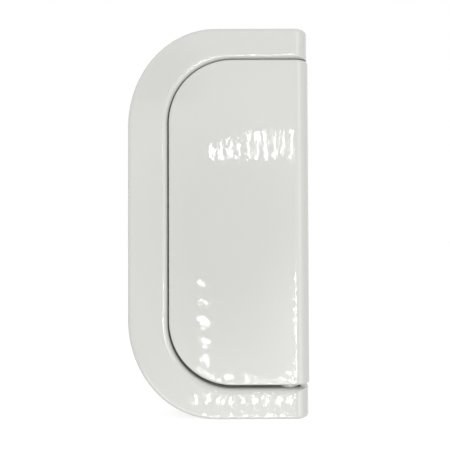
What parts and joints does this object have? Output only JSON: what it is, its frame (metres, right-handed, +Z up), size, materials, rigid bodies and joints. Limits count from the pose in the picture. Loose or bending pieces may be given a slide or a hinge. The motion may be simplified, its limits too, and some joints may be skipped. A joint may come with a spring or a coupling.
{
  "type": "bi-fold door handle",
  "caption": "Fold-flat bi-fold door handle: a C-shaped cast base with a flush D-shaped flap that swings out on sprung pivots as the pull.",
  "frame": {"origin": "centre of the base's outline on the mounting face, where it lies on the door", "axes": "+Z up along the handle, +X across the door from the stile to the hinge edge, +Y into the door"},
  "size_m": [0.0699, 0.018, 0.15],
  "materials": {
    "white_powder_coat": "gloss powder coat with orange peel",
    "pin_steel": "ground",
    "bush_acetal": "moulded",
    "screw_steel": "black oxide",
    "white_plastic": "moulded",
    "buffer_rubber": "moulded",
    "spring_wire": "drawn wire"
  },
  "bodies": {
    "base": {"base_body": "white_powder_coat", "upper_bush": "bush_acetal", "upper_pin_cap": "white_plastic", "upper_buffer": "buffer_rubber", "upper_spring": "spring_wire", "lower_bush": "bush_acetal", "lower_pin_cap": "white_plastic", "lower_buffer": "buffer_rubber", "lower_spring": "spring_wire"},
    "flap_body": {"flap": "white_powder_coat", "upper_pivot_pin": "pin_steel", "upper_set_screw": "screw_steel", "lower_pivot_pin": "pin_steel", "lower_set_screw": "screw_steel"}
  },
  "joints": [
    {"name": "flap_hinge", "type": "hinge", "parent": "base", "child": "flap_body", "pos_m": [0.0272, -0.0118, 0], "axis": [0, 0, 1], "range_deg": [0, 100], "stiffness_Nm_per_rad": 0.04, "springref_deg": -68.75, "deforming": ["upper_spring", "lower_spring"]}
  ]
}
